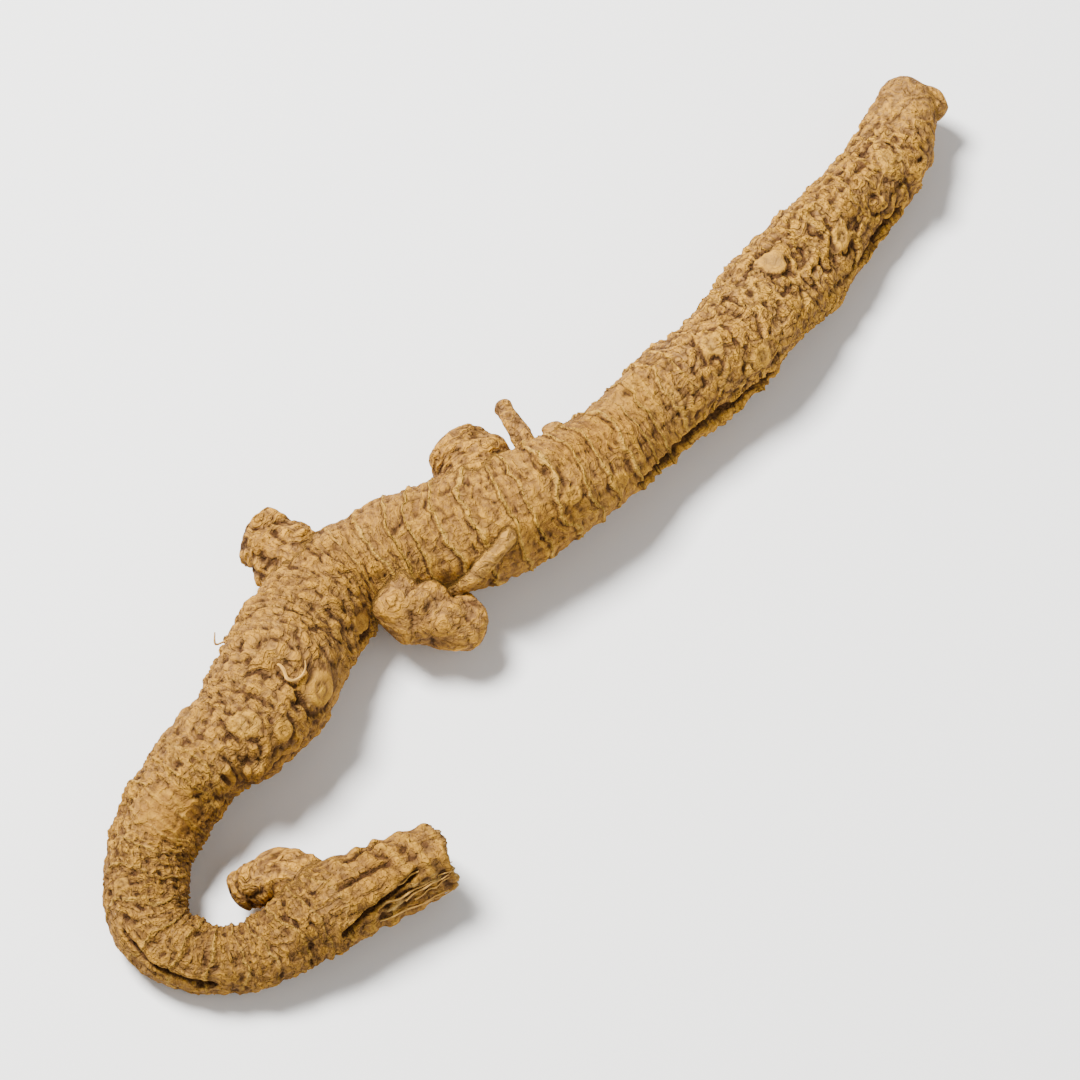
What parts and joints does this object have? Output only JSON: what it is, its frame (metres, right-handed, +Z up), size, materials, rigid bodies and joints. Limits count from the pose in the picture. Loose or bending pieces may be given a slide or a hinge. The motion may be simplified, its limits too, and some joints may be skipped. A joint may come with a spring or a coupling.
{
  "type": "orris root",
  "caption": "Whole dried unpeeled orris root, bent into a long hook, with rings, warts, worn stumps and a broken end; lies on its side on a surface.",
  "frame": {"origin": "centre of the bounding box in X and Y, on the surface that the root lies on", "axes": "+X to the viewer's right, +Y away from the viewer and along the root's longest reach, +Z up"},
  "size_m": [0.1138, 0.1372, 0.0172],
  "materials": {
    "dried_root_bark": "matte, wrinkled, dry"
  },
  "bodies": {
    "root": {"orris_root": "dried_root_bark"}
  },
  "joints": []
}
